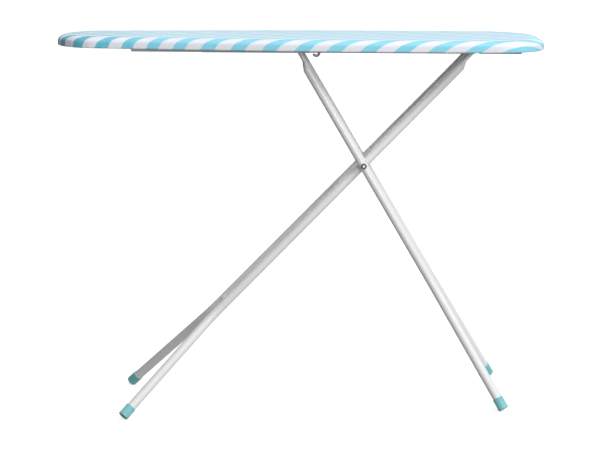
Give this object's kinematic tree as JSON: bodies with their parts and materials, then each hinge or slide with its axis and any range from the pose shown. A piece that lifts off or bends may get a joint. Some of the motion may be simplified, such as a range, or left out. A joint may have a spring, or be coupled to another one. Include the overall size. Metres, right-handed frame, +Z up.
{
  "type": "ironing board",
  "caption": "Folding ironing board: a long padded board with a round nose and striped cotton cover on crossed white tube legs with teal foot caps.",
  "frame": {"origin": "on the floor, under the middle of the board's length and width", "axes": "+X from the nose to the heel along the board, +Y across it away from the release hook's side, +Z up"},
  "size_m": [1.112, 0.392, 0.8709],
  "materials": {
    "striped_cloth": "woven cotton with aqua and off-white diagonal stripes",
    "pad_foam": "needled felt and foam, off-white",
    "panel_paint": "grey-white powder coat",
    "rail_steel": "grey powder coat, satin",
    "bright_steel": "zinc plated",
    "rivet_steel": "dark plated rivet",
    "lever_steel": "dark grey-brown dipped wire",
    "white_tube": "glossy white powder coat",
    "nylon": "natural nylon",
    "cap_plastic": "moulded soft teal plastic, satin"
  },
  "bodies": {
    "board": {"cover": "striped_cloth", "pad": "pad_foam", "board_panel": "panel_paint", "edge_rim": "panel_paint", "rail_far": "rail_steel", "rail_near": "rail_steel", "rail_tie_nose": "rail_steel", "rail_tie_heel": "rail_steel", "rail_rivets": "bright_steel", "hinge_rod": "bright_steel", "hinge_push_nuts": "bright_steel", "hinge_spacer_far": "nylon", "hinge_spacer_near": "nylon", "lever_spring": "bright_steel"},
    "lever": {"release_lever": "lever_steel", "height_rack": "rail_steel", "lever_clips": "bright_steel"},
    "inner_legs": {"leg_b_far": "white_tube", "leg_b_near": "white_tube", "foot_cap_b_far": "cap_plastic", "foot_cap_b_near": "cap_plastic", "leg_brace_b": "white_tube", "scissor_rivet_far": "rivet_steel", "scissor_rivet_near": "rivet_steel"},
    "outer_legs": {"leg_a_far": "white_tube", "leg_a_near": "white_tube", "foot_cap_a_far": "cap_plastic", "foot_cap_a_near": "cap_plastic", "leg_brace_a": "white_tube", "scissor_spacer_far": "nylon", "scissor_spacer_near": "nylon", "height_rod": "bright_steel", "rod_sleeve_far": "nylon", "rod_sleeve_near": "nylon"}
  },
  "joints": [
    {"name": "leg_fold", "type": "hinge", "parent": "board", "child": "inner_legs", "pos_m": [0.39967, 0, 0.8175], "axis": [0, 1, 0], "range_deg": [0, 43]},
    {"name": "leg_scissor", "type": "hinge", "parent": "inner_legs", "child": "outer_legs", "pos_m": [0.1388, 0, 0.557], "axis": [0, -1, 0], "range_deg": [0, 98.94]},
    {"name": "release_pull", "type": "hinge", "parent": "board", "child": "lever", "pos_m": [0.04028, 0, 0.83254], "axis": [0, -1, 0], "range_deg": [0, 10], "stiffness_Nm_per_rad": 0.8, "springref_deg": -34.38, "deforming": ["lever_spring"]}
  ],
  "couplings": [
    {"joint": "leg_scissor", "follows": "leg_fold", "ratio": 2.3007}
  ]
}
